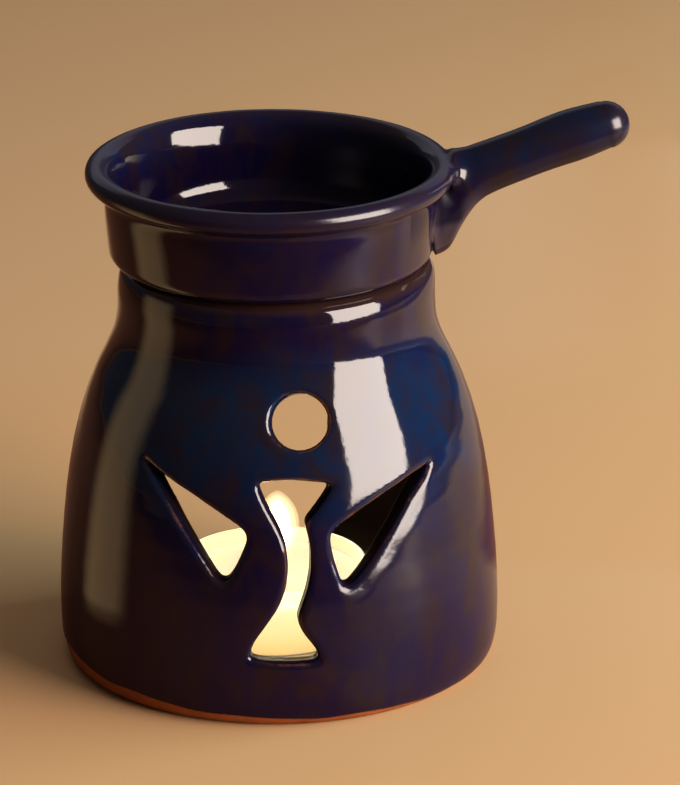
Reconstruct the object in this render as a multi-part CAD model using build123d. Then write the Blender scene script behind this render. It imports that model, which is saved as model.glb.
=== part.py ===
from build123d import *
import math
import os

# Essential oil burner: glazed terracotta bell, lift-off oil dish with a stick
# handle, and a tealight in a clear cup. Millimetres, +Z up, origin on the
# table at the bell's axis, pierced figure facing -Y, handle along +X.

# ---- driving dimensions ----------------------------------------------------
WALL = 4.8                 # bell wall
FLOOR_T = 3.5              # bell floor
FOOT_R = 41.6              # flat the bell stands on
# outside of the bell, (radius, height) from the foot to the neck
BELL = [
    (42.9, 0.8), (43.9, 2.3), (44.5, 4.6), (44.75, 8.2), (44.72, 15.8),
    (43.95, 27.3), (42.5, 39.5), (39.9, 51.7), (36.2, 61.7), (33.2, 68.2),
    (32.25, 72.0), (32.0, 76.0),
]
NECK_R = 31.95             # outside of the neck
NECK_IN_R = 27.1           # mouth of the neck
NECK_TOP = 83.6            # rim the dish stands on
RIM_OUT = 2.2              # roundings of that rim
RIM_IN = 1.6

# pierced figure: outlines as (degrees round from -Y towards +X, height)
HEAD_AT = (2.4, 61.5)
HEAD_R = 5.5
WING_L = [
    (-45.2, 51.4), (-35.9, 48.9), (-28.0, 46.7), (-20.7, 44.0), (-15.2, 41.7),
    (-13.4, 40.8), (-12.5, 39.8), (-12.5, 38.4), (-14.1, 35.4), (-16.0, 32.4),
    (-17.6, 30.5), (-18.7, 29.7), (-20.4, 30.8), (-27.0, 37.2), (-34.9, 44.3),
    (-40.6, 48.4),
]
WING_R = [
    (43.5, 49.3), (36.0, 48.2), (27.1, 46.2), (19.3, 43.9), (12.3, 41.2),
    (10.6, 40.3), (9.9, 38.8), (10.7, 34.9), (12.2, 31.0), (13.1, 28.9),
    (14.0, 28.4), (15.4, 29.2), (19.4, 32.0), (25.5, 37.0), (34.5, 43.8),
    (41.0, 47.3),
]
TORSO = [
    (-10.3, 50.2), (-0.7, 50.6), (12.3, 49.4), (9.6, 47.2), (5.3, 43.7),
    (2.9, 42.1), (4.0, 39.6), (4.6, 36.2), (4.4, 32.3), (3.3, 28.5),
    (1.4, 24.6), (0.5, 22.6), (2.6, 19.8), (6.3, 16.7), (8.0, 14.1),
    (-1.5, 14.0), (-12.9, 14.6), (-10.9, 18.2), (-7.2, 21.8), (-4.1, 25.3),
    (-2.1, 29.2), (-1.4, 33.6), (-2.0, 37.8), (-3.8, 41.1), (-7.2, 45.4),
    (-9.1, 48.1),
]

# tealight, standing a little off the axis
TEA_X = -1.2
TEA_Z = FLOOR_T + 0.15
CUP_R_TOP = 19.0
CUP_R_BOT = 18.4
CUP_H = 15.1
CUP_T = 0.7
WAX_H = 11.4
WAX_GAP = 0.05
WICK_R = 0.8
WICK_TOP = 21.0
SUST_R = 6.5
SUST_T = 0.4
SUST_NECK_R = 1.5
SUST_NECK_H = 4.0

# candle opening at the back, in line with the tealight's way out
ARCH_TURN = 9.1            # degrees from +Y towards -X
ARCH_HALF = 20.5
ARCH_TOP = 47.5
ARCH_CORNER = 11.0

# oil dish
DISH_X = -1.1              # it stands off the bell's axis by part of its play
DISH_Z = NECK_TOP + 0.25
DISH_SPIGOT_R = 25.6       # step that keeps the dish on the neck
DISH_SPIGOT_H = 2.0
DISH_WALL_R = 32.4
DISH_EDGE_R = 2.6
DISH_FLOOR_Z = 86.4
LIP_R = 34.5               # centre of the rolled lip
LIP_Z = 101.35
LIP_ROLL = 2.3

# handle: (distance from the dish axis, centre height, half height, half width)
HANDLE = [
    (31.1, 92.4, 7.9, 5.5), (33.7, 93.15, 9.15, 5.5), (35.9, 94.3, 9.3, 5.45),
    (37.6, 96.28, 8.22, 5.35), (39.4, 98.18, 6.98, 5.3), (41.7, 100.05, 5.95, 5.25),
    (45.5, 101.85, 5.45, 5.2), (51.5, 104.08, 5.38, 5.2), (57.5, 106.3, 5.5, 5.25),
    (63.0, 107.9, 5.35, 5.15),
]
TIP_AT = (67.1, 109.15)
TIP_R = 4.75


def ring(profile):
    """Solid of revolution about Z from a closed wire in the XZ plane."""
    return revolve(Plane.XZ * make_face(profile), Axis.Z, 360)


def bell():
    with BuildLine() as out:
        a = Line((0, 0), (FOOT_R, 0))
        s = Spline([(FOOT_R, 0)] + BELL)
        n = Line(BELL[-1], (NECK_R, NECK_TOP - RIM_OUT))
        r1 = ThreePointArc(
            (NECK_R, NECK_TOP - RIM_OUT),
            (NECK_R - RIM_OUT * (1 - math.sqrt(0.5)), NECK_TOP - RIM_OUT * (1 - math.sqrt(0.5))),
            (NECK_R - RIM_OUT, NECK_TOP))
        t = Line((NECK_R - RIM_OUT, NECK_TOP), (NECK_IN_R + RIM_IN, NECK_TOP))
        r2 = ThreePointArc(
            (NECK_IN_R + RIM_IN, NECK_TOP),
            (NECK_IN_R + RIM_IN * (1 - math.sqrt(0.5)), NECK_TOP - RIM_IN * (1 - math.sqrt(0.5))),
            (NECK_IN_R, NECK_TOP - RIM_IN))
        inner = [(NECK_IN_R, NECK_TOP - RIM_IN), (NECK_IN_R, 76.0), (NECK_IN_R + 0.25, 71.0)]
        inner += [(r - WALL, z - 0.6) for r, z in reversed(BELL[4:10])]
        inner += [(44.7 - WALL, 9.6), (44.0 - WALL, 6.6)]
        i = Spline(inner + [(35.6, FLOOR_T)], tangents=[(0, -1), (-1, 0)])
        f = Line((35.6, FLOOR_T), (0, FLOOR_T))
        c = Line((0, FLOOR_T), (0, 0))
    solid = ring(out.wires()[0])
    # figure: every outline is cut straight towards the axis
    for outline in (WING_L, WING_R, TORSO):
        solid -= towards_axis(outline)
    phi = math.radians(HEAD_AT[0])
    up = math.radians(21)
    out_dir = Vector(math.sin(phi) * math.cos(up), -math.cos(phi) * math.cos(up), math.sin(up))
    seat = Vector(36.1 * math.sin(phi), -36.1 * math.cos(phi), HEAD_AT[1])
    drill = Plane(origin=seat - out_dir * 12, z_dir=out_dir) * Cylinder(
        HEAD_R, 24, align=(Align.CENTER, Align.CENTER, Align.MIN))
    solid -= drill
    # candle opening
    solid -= arch_way(14.0)
    return solid


def towards_axis(outline):
    near, far = 18.0, 52.0
    wires = []
    for y in (near, far):
        pts = [(y * math.tan(math.radians(a)), -y, z) for a, z in outline]
        wires.append(Wire.make_polygon([Vector(*q) for q in pts], close=True))
    return Solid.make_loft(wires, True)


def arch_way(start):
    d = math.radians(ARCH_TURN)
    along = Vector(-math.sin(d), math.cos(d), 0)
    side = Vector(math.cos(d), math.sin(d), 0)
    place = Plane(origin=Vector(TEA_X, 0, 0) + along * start, x_dir=side, z_dir=along * -1)
    # local x = side, local y points up or down with the plane's handedness
    updown = 1 if place.y_dir.Z > 0 else -1
    with BuildSketch() as sk:
        with BuildLine():
            spring = ARCH_TOP - ARCH_CORNER
            q = ARCH_CORNER * (1 - math.sqrt(0.5))
            Polyline((-ARCH_HALF, updown * spring), (-ARCH_HALF, updown * FLOOR_T),
                     (ARCH_HALF, updown * FLOOR_T), (ARCH_HALF, updown * spring))
            ThreePointArc((ARCH_HALF, updown * spring), (ARCH_HALF - q, updown * (ARCH_TOP - q)),
                          (ARCH_HALF - ARCH_CORNER, updown * ARCH_TOP))
            Line((ARCH_HALF - ARCH_CORNER, updown * ARCH_TOP), (ARCH_CORNER - ARCH_HALF, updown * ARCH_TOP))
            ThreePointArc((ARCH_CORNER - ARCH_HALF, updown * ARCH_TOP), (q - ARCH_HALF, updown * (ARCH_TOP - q)),
                          (-ARCH_HALF, updown * spring))
        make_face()
    return extrude(place * sk.sketch, amount=-45)


def dish_outline(inside):
    """Half section of the dish. inside=False gives the same shape filled up."""
    z0 = DISH_Z
    with BuildLine() as ln:
        Line((0, z0 - DISH_SPIGOT_H), (DISH_SPIGOT_R - 0.8, z0 - DISH_SPIGOT_H))
        Line((DISH_SPIGOT_R - 0.8, z0 - DISH_SPIGOT_H), (DISH_SPIGOT_R, z0 - DISH_SPIGOT_H + 0.8))
        Line((DISH_SPIGOT_R, z0 - DISH_SPIGOT_H + 0.8), (DISH_SPIGOT_R, z0))
        Line((DISH_SPIGOT_R, z0), (DISH_WALL_R - DISH_EDGE_R, z0))
        q = DISH_EDGE_R * (1 - math.sqrt(0.5))
        ThreePointArc((DISH_WALL_R - DISH_EDGE_R, z0), (DISH_WALL_R - q, z0 + q),
                      (DISH_WALL_R, z0 + DISH_EDGE_R))
        w = math.radians(-62)
        lip_lo = (LIP_R + LIP_ROLL * math.cos(w), LIP_Z + LIP_ROLL * math.sin(w))
        Spline([(DISH_WALL_R, z0 + DISH_EDGE_R), (DISH_WALL_R + 0.45, 91.5), (DISH_WALL_R + 0.7, 95.8),
                (DISH_WALL_R + 1.1, 98.2), lip_lo])
        if inside:
            v = math.radians(112)
            lip_in = (LIP_R + LIP_ROLL * math.cos(v), LIP_Z + LIP_ROLL * math.sin(v))
            m = math.radians(25)
            ThreePointArc(lip_lo, (LIP_R + LIP_ROLL * math.cos(m), LIP_Z + LIP_ROLL * math.sin(m)), lip_in)
            Spline([lip_in, (32.4, 102.6), (31.5, 101.1), (30.8, 98.9), (30.2, 95.5), (29.6, 91.5), (28.3, 88.4),
                    (25.8, 86.75), (22.5, DISH_FLOOR_Z)])
            Line((22.5, DISH_FLOOR_Z), (0, DISH_FLOOR_Z))
            Line((0, DISH_FLOOR_Z), (0, z0 - DISH_SPIGOT_H))
        else:
            top = (LIP_R, LIP_Z + LIP_ROLL)
            ThreePointArc(lip_lo, (LIP_R + LIP_ROLL * math.cos(math.radians(14)),
                                   LIP_Z + LIP_ROLL * math.sin(math.radians(14))), top)
            Line(top, (LIP_R, 118.0))
            Line((LIP_R, 118.0), (0, 118.0))
            Line((0, 118.0), (0, z0 - DISH_SPIGOT_H))
    return ln.wires()[0]


def dish():
    return Pos(DISH_X, 0, 0) * ring(dish_outline(True))


def handle():
    rings = []
    for x, z, hz, hy in HANDLE:
        tilt = 0.0 if x < 37 else math.radians(min(18.5, (x - 37) * 4.0))
        pl = Plane(origin=(x, 0, z), x_dir=(0, 1, 0), z_dir=(math.cos(tilt), 0, math.sin(tilt)))
        with BuildSketch(pl) as sk:
            Ellipse(hy, hz * math.cos(tilt))
        rings.append(sk.sketch.faces()[0])
    t = math.radians(18.5)
    pl = Plane(origin=(TIP_AT[0], 0, TIP_AT[1]), x_dir=(0, 1, 0), z_dir=(math.cos(t), 0, math.sin(t)))
    with BuildSketch(pl) as sk:
        Circle(TIP_R - 0.002)
    rings.append(sk.sketch.faces()[0])
    arm = loft(rings) + Pos(TIP_AT[0], 0, TIP_AT[1]) * Sphere(TIP_R)
    arm = arm - ring(dish_outline(False))
    return Pos(DISH_X, 0, 0) * max(arm.solids(), key=lambda s: s.volume)


def cup():
    h = CUP_H
    with BuildLine() as ln:
        Polyline((0, 0), (CUP_R_BOT - 0.8, 0), (CUP_R_BOT, 0.8), (CUP_R_TOP, h),
                 (CUP_R_TOP - CUP_T, h), (CUP_R_BOT - CUP_T, 1.4),
                 (CUP_R_BOT - CUP_T - 0.6, CUP_T), (0, CUP_T), (0, 0))
    return Pos(TEA_X, 0, TEA_Z) * ring(ln.wires()[0])


def wax():
    z0 = CUP_T + WAX_GAP
    slope = (CUP_R_TOP - CUP_R_BOT) / (CUP_H - 0.8)
    def wall(z):
        return CUP_R_BOT - CUP_T + slope * (z - 0.8) - 0.15
    top = z0 + WAX_H
    with BuildLine() as ln:
        Polyline((SUST_R + 0.02, z0), (wall(1.5) - 0.75, z0), (wall(1.5), 1.5), (wall(top), top - 0.0),
                 (wall(top) - 0.9, top - 0.5), (7.0, top - 0.9), (WICK_R + 0.02, top - 0.9),
                 (WICK_R + 0.02, z0 + SUST_NECK_H + 0.02), (SUST_NECK_R + 0.02, z0 + SUST_NECK_H + 0.02),
                 (SUST_NECK_R + 0.02, z0 + SUST_T + 0.02), (SUST_R + 0.02, z0 + SUST_T + 0.02), (SUST_R + 0.02, z0))
    return Pos(TEA_X, 0, TEA_Z) * ring(ln.wires()[0])


def sustainer():
    z0 = CUP_T + WAX_GAP
    with BuildLine() as ln:
        Polyline((WICK_R + 0.02, z0), (SUST_R, z0), (SUST_R, z0 + SUST_T), (SUST_NECK_R, z0 + SUST_T),
                 (SUST_NECK_R, z0 + SUST_NECK_H), (WICK_R + 0.02, z0 + SUST_NECK_H), (WICK_R + 0.02, z0))
    return Pos(TEA_X, 0, TEA_Z) * ring(ln.wires()[0])


def wick():
    z0 = TEA_Z + CUP_T + WAX_GAP
    body = Pos(TEA_X, 0, z0) * Cylinder(WICK_R, WICK_TOP - z0, align=(Align.CENTER, Align.CENTER, Align.MIN))
    return chamfer(body.edges().sort_by(Axis.Z)[-1], 0.3)


os.makedirs("parts", exist_ok=True)
PARTS = {
    "burner_body": bell(),
    "oil_dish": dish(),
    "dish_handle": handle(),
    "tealight_cup": cup(),
    "tealight_wax": wax(),
    "wick_sustainer": sustainer(),
    "tealight_wick": wick(),
}
for name, shape in PARTS.items():
    solids = shape.solids()
    print(name, len(solids), round(sum(s.volume for s in solids), 1))
    export_step(shape if not isinstance(shape, list) else solids[0], f"parts/{name}.step")
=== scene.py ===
import bpy
import math
import numpy as np
from mathutils import Matrix, Vector


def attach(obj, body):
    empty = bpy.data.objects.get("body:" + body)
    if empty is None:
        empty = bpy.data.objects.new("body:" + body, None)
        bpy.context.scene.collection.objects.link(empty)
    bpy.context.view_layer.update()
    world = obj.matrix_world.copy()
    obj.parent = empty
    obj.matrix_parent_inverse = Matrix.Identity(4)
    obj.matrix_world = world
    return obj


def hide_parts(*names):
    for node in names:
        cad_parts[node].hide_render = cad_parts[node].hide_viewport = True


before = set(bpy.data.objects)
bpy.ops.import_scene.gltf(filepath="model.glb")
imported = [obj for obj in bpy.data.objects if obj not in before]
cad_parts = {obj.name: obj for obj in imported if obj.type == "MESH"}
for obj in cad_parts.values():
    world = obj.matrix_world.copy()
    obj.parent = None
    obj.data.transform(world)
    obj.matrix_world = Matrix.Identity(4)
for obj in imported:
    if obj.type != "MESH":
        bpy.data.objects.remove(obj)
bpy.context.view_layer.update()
scene = bpy.context.scene
scene.view_settings.view_transform = "Standard"
scene.view_settings.look = "None"
MM = 0.001


# ---------------------------------------------------------------------------
# small geometry kit (millimetres)
# ---------------------------------------------------------------------------
def spline(pts, n):
    """Natural cubic through the points, by chord length, n samples."""
    p = np.asarray(pts, float)
    t = np.concatenate([[0], np.cumsum(np.hypot(*np.diff(p, axis=0).T))])
    m = len(t)
    h = np.diff(t)
    A = np.zeros((m, m))
    b = np.zeros((m, 2))
    A[0, 0] = A[-1, -1] = 1
    for i in range(1, m - 1):
        A[i, i - 1], A[i, i], A[i, i + 1] = h[i - 1], 2 * (h[i - 1] + h[i]), h[i]
        b[i] = 6 * ((p[i + 1] - p[i]) / h[i] - (p[i] - p[i - 1]) / h[i - 1])
    s = np.linalg.solve(A, b)
    q = np.linspace(0, t[-1], n)
    k = np.clip(np.searchsorted(t, q, side="right") - 1, 0, m - 2)
    a = (t[k + 1] - q)[:, None]
    c = (q - t[k])[:, None]
    hk = h[k][:, None]
    return (s[k] * a**3 + s[k + 1] * c**3) / (6 * hk) + (p[k] / hk - s[k] * hk / 6) * a + (p[k + 1] / hk - s[k + 1] * hk / 6) * c


def arc(cx, cz, r, a0, a1, n):
    a = np.radians(np.linspace(a0, a1, n))
    return np.stack([cx + r * np.cos(a), cz + r * np.sin(a)], -1)


def polygon_sdf(u, v, pts):
    """Signed distance in the plane, negative inside."""
    p = np.asarray(pts, float)
    q = np.roll(p, -1, axis=0)
    d2 = np.full(u.shape, 1e9)
    odd = np.zeros(u.shape, bool)
    for (ax, ay), (bx, by) in zip(p, q):
        ex, ey = bx - ax, by - ay
        wx, wy = u - ax, v - ay
        t = np.clip((wx * ex + wy * ey) / (ex * ex + ey * ey + 1e-12), 0, 1)
        d2 = np.minimum(d2, (wx - t * ex) ** 2 + (wy - t * ey) ** 2)
        if ey != 0:
            odd ^= ((ay > v) != (by > v)) & (u < ex * (v - ay) / ey + ax)
    d = np.sqrt(d2)
    return np.where(odd, -d, d)


class Section:
    """Half section (radius, height) turned into a table of signed distance."""

    def __init__(self, pts, rmax, z0, z1, step=0.2):
        self.step, self.z0 = step, z0
        self.nr, self.nz = int(rmax / step) + 3, int((z1 - z0) / step) + 2
        r = (np.arange(self.nr) - 1) * step
        z = z0 + np.arange(self.nz) * step
        R, Z = np.meshgrid(r, z, indexing="ij")
        self.table = polygon_sdf(R, Z, pts)

    def __call__(self, r, z):
        a = np.clip(r / self.step + 1, 0, self.nr - 1.001)
        b = np.clip((z - self.z0) / self.step, 0, self.nz - 1.001)
        i, j = a.astype(int), b.astype(int)
        fa, fb = a - i, b - j
        T = self.table
        return (T[i, j] * (1 - fa) * (1 - fb) + T[i + 1, j] * fa * (1 - fb)
                + T[i, j + 1] * (1 - fa) * fb + T[i + 1, j + 1] * fa * fb)


class Cut:
    """Outline of a piercing on the unrolled wall, with its corners softened except at the pointed tips."""

    def __init__(self, pts, tips, soften=0.85, step=0.25, pad=11.0):
        p = np.asarray(pts, float)
        self.lo, self.step = p.min(0) - pad, step
        n = np.ceil((p.max(0) + pad - self.lo) / step).astype(int) + 1
        U, V = np.meshgrid(self.lo[0] + step * np.arange(n[0]), self.lo[1] + step * np.arange(n[1]), indexing="ij")
        sharp = polygon_sdf(U, V, p)
        m = int(3 * soften / step)
        k = np.exp(-0.5 * (np.arange(-m, m + 1) * step / soften) ** 2)
        k /= k.sum()
        blunt = np.pad(sharp, m, mode="edge")
        blunt = np.apply_along_axis(lambda q: np.convolve(q, k, "valid"), 0, blunt)
        blunt = np.apply_along_axis(lambda q: np.convolve(q, k, "valid"), 1, blunt)
        m = int(3 * 2.2 / step)
        k = np.exp(-0.5 * (np.arange(-m, m + 1) * step / 2.2) ** 2)
        k /= k.sum()
        wide = np.pad(sharp, m, mode="edge")
        wide = np.apply_along_axis(lambda q: np.convolve(q, k, "valid"), 0, wide)
        self.wide = np.apply_along_axis(lambda q: np.convolve(q, k, "valid"), 1, wide)
        w = np.zeros(U.shape)
        for tu, tv in tips:
            w = np.maximum(w, np.exp(-((U - tu) ** 2 + (V - tv) ** 2) / 49.0))
        self.table = blunt * (1 - w) + sharp * w
        self.n = n

    def __call__(self, u, v):
        a = np.clip((u - self.lo[0]) / self.step, 0, self.n[0] - 1.001)
        b = np.clip((v - self.lo[1]) / self.step, 0, self.n[1] - 1.001)
        return [self.read(T, a, b) for T in (self.table, self.wide)]

    @staticmethod
    def read(T, a, b):
        i, j = a.astype(int), b.astype(int)
        fa, fb = a - i, b - j
        return (T[i, j] * (1 - fa) * (1 - fb) + T[i + 1, j] * fa * (1 - fb)
                + T[i, j + 1] * (1 - fa) * fb + T[i + 1, j + 1] * fa * fb)


def smax(a, b, k):
    h = np.maximum(k - np.abs(a - b), 0) / np.maximum(k, 1e-9)
    return np.maximum(a, b) + h * h * k * 0.25


def smin(a, b, k):
    return -smax(-a, -b, k)


def step01(x):
    x = np.clip(x, 0, 1)
    return x * x * (3 - 2 * x)


RNG = np.random.default_rng(41)


def waves(count, short, long):
    """Smooth uneven field, the sum of plane waves, roughly within -1..1."""
    k = RNG.normal(size=(count, 3))
    k /= np.linalg.norm(k, axis=1)[:, None]
    lam = np.exp(RNG.uniform(np.log(short), np.log(long), count))
    k *= (2 * np.pi / lam)[:, None]
    ph = RNG.uniform(0, 2 * np.pi, count)
    amp = lam / lam.sum() * 1.6

    def field(P):
        out = np.zeros(len(P))
        for i in range(count):
            out += amp[i] * np.sin(P @ k[i] + ph[i])
        return out
    return field


def main_skin(V, Q, least=400):
    """Drops specks: faces that hang together, edge to edge, in groups smaller than least."""
    E = np.sort(np.concatenate([Q[:, [i, (i + 1) % 4]] for i in range(4)]), axis=1)
    key = E[:, 0] * len(V) + E[:, 1]
    order = np.argsort(key, kind="stable")
    owner = np.tile(np.arange(len(Q)), 4)[order]
    start = np.nonzero(np.r_[True, np.diff(key[order]) != 0])[0]
    pair = start[np.diff(np.r_[start, len(key)]) == 2]
    a, b = owner[pair], owner[pair + 1]
    group = np.arange(len(Q))
    while True:
        low = np.minimum(group[a], group[b])
        new = group.copy()
        np.minimum.at(new, a, low)
        np.minimum.at(new, b, low)
        new = new[new]
        if (new == group).all():
            break
        group = new
    Q = Q[np.bincount(group, minlength=len(Q))[group] >= least]
    used, Q = np.unique(Q, return_inverse=True)
    return V[used], Q.reshape(-1, 4)


def surface(sdf, lo, hi, h):
    """Quads on sdf = 0 inside the box lo..hi, drawn onto the exact surface."""
    lo = np.asarray(lo, float)
    n = [int(math.ceil((b - a) / h)) + 1 for a, b in zip(lo, hi)]
    ax = [lo[i] + h * np.arange(n[i]) for i in range(3)]
    F = np.empty(n, np.float32)
    X, Y = np.meshgrid(ax[0], ax[1], indexing="ij")
    for k0 in range(0, n[2], 8):
        zs = ax[2][k0:k0 + 8]
        P = np.stack([np.repeat(X[..., None], len(zs), 2), np.repeat(Y[..., None], len(zs), 2),
                      np.broadcast_to(zs, X.shape + (len(zs),))], -1).reshape(-1, 3)
        F[:, :, k0:k0 + 8] = sdf(P).reshape(X.shape + (len(zs),))
    S = F < 0
    # where two corners of a grid square touch only across its diagonal, the nearer empty corner is filled
    for _ in range(8):
        filled = 0
        for axis in range(3):
            e1, e2 = np.eye(3, dtype=int)[[d for d in range(3) if d != axis]]
            corner = [S[tuple(slice(o[d], n[d] - (e1 + e2 - o)[d]) for d in range(3))] for o in (0 * e1, e1, e2, e1 + e2)]
            for at in np.argwhere((corner[0] == corner[3]) & (corner[1] == corner[2]) & (corner[0] != corner[1])):
                empty = [tuple(c) for c in (at, at + e1, at + e2, at + e1 + e2) if not S[tuple(c)]]
                if len(empty) == 2:
                    c = min(empty, key=lambda q: F[q])
                    S[c], F[c] = True, -0.02
                    filled += 1
        if not filled:
            break
    cnt = np.zeros([m - 1 for m in n], np.int8)
    for i in (0, 1):
        for j in (0, 1):
            for k in (0, 1):
                cnt += S[i:n[0] - 1 + i, j:n[1] - 1 + j, k:n[2] - 1 + k]
    act = (cnt > 0) & (cnt < 8)
    I = np.argwhere(act)
    idx = np.full(act.shape, -1, np.int64)
    idx[act] = np.arange(len(I))
    acc = np.zeros((len(I), 3))
    num = np.zeros(len(I))
    for axis in range(3):
        o1, o2 = [d for d in range(3) if d != axis]
        for a in (0, 1):
            for b in (0, 1):
                c0 = I.copy()
                c0[:, o1] += a
                c0[:, o2] += b
                c1 = c0.copy()
                c1[:, axis] += 1
                f0, f1 = F[tuple(c0.T)], F[tuple(c1.T)]
                m = (f0 < 0) != (f1 < 0)
                t = np.where(m, f0 / np.where(m, f0 - f1, 1), 0)
                pt = c0.astype(float)
                pt[:, axis] += t
                acc[m] += pt[m]
                num[m] += 1
    V = lo + h * acc / num[:, None]
    quads = []
    for axis in range(3):
        o1, o2 = (axis + 1) % 3, (axis + 2) % 3
        s0 = [slice(None)] * 3
        s1 = [slice(None)] * 3
        s0[axis], s1[axis] = slice(0, -1), slice(1, None)
        A, B = S[tuple(s0)], S[tuple(s1)]
        E = np.argwhere(A != B)
        E = E[(E[:, o1] > 0) & (E[:, o2] > 0) & (E[:, o1] < n[o1] - 1) & (E[:, o2] < n[o2] - 1)]
        inside = A[tuple(E.T)]
        cs = []
        for da, db in ((1, 1), (0, 1), (0, 0), (1, 0)):
            c = E.copy()
            c[:, o1] -= da
            c[:, o2] -= db
            cs.append(idx[tuple(c.T)])
        q = np.stack(cs, -1)
        q[~inside] = q[~inside][:, ::-1]
        quads.append(q)
    V, Q = main_skin(V, np.concatenate(quads))
    for _ in range(3):
        f, g = value_slope(sdf, V)
        stp = f / np.maximum((g * g).sum(1), 0.2)
        V -= np.clip(stp, -h, h)[:, None] * g
    return V, Q


def value_slope(sdf, V, d=0.12):
    g = np.empty_like(V)
    for a in range(3):
        e = np.zeros(3)
        e[a] = d
        g[:, a] = (sdf(V + e) - sdf(V - e)) / (2 * d)
    return sdf(V), g


def roundness(sdf, V, d):
    """How far the surface turns away within d: above 0 on outer edges, below 0 in hollows."""
    _, g = value_slope(sdf, V)
    g /= np.maximum(np.linalg.norm(g, axis=1), 1e-6)[:, None]
    ref = np.where(np.abs(g[:, 2:3]) < 0.9, np.array([[0, 0, 1.0]]), np.array([[1.0, 0, 0]]))
    t1 = np.cross(g, ref)
    t1 /= np.linalg.norm(t1, axis=1)[:, None]
    t2 = np.cross(g, t1)
    s = sum(sdf(V + d * t) + sdf(V - d * t) for t in (t1, t2))
    return s / (4 * d)


def to_object(name, V, faces, smooth=True):
    me = bpy.data.meshes.new(name)
    V = np.asarray(V, float) * MM
    if isinstance(faces, np.ndarray):
        me.vertices.add(len(V))
        me.vertices.foreach_set("co", V.astype(np.float32).ravel())
        me.loops.add(faces.size)
        me.loops.foreach_set("vertex_index", faces.astype(np.int32).ravel())
        me.polygons.add(len(faces))
        me.polygons.foreach_set("loop_start", np.arange(0, faces.size, faces.shape[1], dtype=np.int32))
        me.update(calc_edges=True)
    else:
        me.from_pydata([tuple(v) for v in V], [], faces)
        me.update()
    me.validate()
    if smooth:
        me.polygons.foreach_set("use_smooth", np.ones(len(me.polygons), bool))
    ob = bpy.data.objects.new(name, me)
    scene.collection.objects.link(ob)
    return ob


def lathe(name, prof, seg, at=(0, 0, 0), wobble=None):
    """Turns an open (radius, height) line into a closed skin; ends at radius 0 become poles."""
    V, faces, rows = [], [], []
    for r, z in prof:
        if r < 1e-6:
            rows.append([len(V)])
            V.append((at[0], at[1], at[2] + z))
        else:
            row = []
            for s in range(seg):
                a = 2 * math.pi * s / seg
                dr = wobble(a, z) if wobble else 0.0
                row.append(len(V))
                V.append((at[0] + (r + dr) * math.cos(a), at[1] + (r + dr) * math.sin(a), at[2] + z))
            rows.append(row)
    for a, b in zip(rows, rows[1:]):
        for s in range(seg):
            t = (s + 1) % seg
            if len(a) == 1:
                faces.append((a[0], b[t], b[s]))
            elif len(b) == 1:
                faces.append((a[s], a[t], b[0]))
            else:
                faces.append((a[s], a[t], b[t], b[s]))
    return to_object(name, np.array(V), faces)


def store(ob, name, values):
    at = ob.data.attributes.new(name, "FLOAT", "POINT")
    at.data.foreach_set("value", np.asarray(values, np.float32))


# ---------------------------------------------------------------------------
# dimensions shared with the solid model
# ---------------------------------------------------------------------------
WALL, FLOOR_T, FOOT_R = 4.8, 3.5, 41.6
BELL = [
    (42.9, 0.8), (43.9, 2.3), (44.5, 4.6), (44.75, 8.2), (44.72, 15.8),
    (43.95, 27.3), (42.5, 39.5), (39.9, 51.7), (36.2, 61.7), (33.2, 68.2),
    (32.25, 72.0), (32.0, 76.0),
]
NECK_R, NECK_IN_R, NECK_TOP = 31.95, 27.1, 83.6
HEAD_AT, HEAD_R = (2.4, 61.5), 5.5
WING_L = [
    (-45.2, 51.4), (-35.9, 48.9), (-28.0, 46.7), (-20.7, 44.0), (-15.2, 41.7),
    (-13.4, 40.8), (-12.5, 39.8), (-12.5, 38.4), (-14.1, 35.4), (-16.0, 32.4),
    (-17.6, 30.5), (-18.7, 29.7), (-20.4, 30.8), (-27.0, 37.2), (-34.9, 44.3),
    (-40.6, 48.4),
]
WING_R = [
    (43.5, 49.3), (36.0, 48.2), (27.1, 46.2), (19.3, 43.9), (12.3, 41.2),
    (10.6, 40.3), (9.9, 38.8), (10.7, 34.9), (12.2, 31.0), (13.1, 28.9),
    (14.0, 28.4), (15.4, 29.2), (19.4, 32.0), (25.5, 37.0), (34.5, 43.8),
    (41.0, 47.3),
]
TORSO = [
    (-10.3, 50.2), (-0.7, 50.6), (12.3, 49.4), (9.6, 47.2), (5.3, 43.7),
    (2.9, 42.1), (4.0, 39.6), (4.6, 36.2), (4.4, 32.3), (3.3, 28.5),
    (1.4, 24.6), (0.5, 22.6), (2.3, 19.8), (5.4, 16.7), (7.0, 14.1),
    (-1.5, 14.0), (-12.3, 14.6), (-10.5, 18.2), (-7.2, 21.8), (-4.1, 25.3),
    (-2.1, 29.2), (-1.4, 33.6), (-2.0, 37.8), (-3.8, 41.1), (-7.2, 45.4),
    (-9.1, 48.1),
]
TEA_X, TEA_Z = -1.2, FLOOR_T + 0.15
ARCH_TURN, ARCH_HALF, ARCH_TOP, ARCH_CORNER = math.radians(9.1), 20.5, 47.5, 11.0
DISH_X, DISH_Z = -1.1, NECK_TOP + 0.25
DISH_WALL_R, DISH_FLOOR_Z = 32.4, 86.4
LIP_R, LIP_Z, LIP_ROLL = 34.5, 101.35, 2.3
TIP_AT, TIP_R = (67.1, 109.15), 4.75


# ---------------------------------------------------------------------------
# camera, floor and light
# ---------------------------------------------------------------------------
TURN = math.radians(-4.0)          # the figure stands a little to the right of the view


def from_view(x, y, z=0.0):
    """A point given in the view's own ground axes (x to the right, y away)."""
    return Vector((x * math.cos(TURN) - y * math.sin(TURN), x * math.sin(TURN) + y * math.cos(TURN), z))


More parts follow.
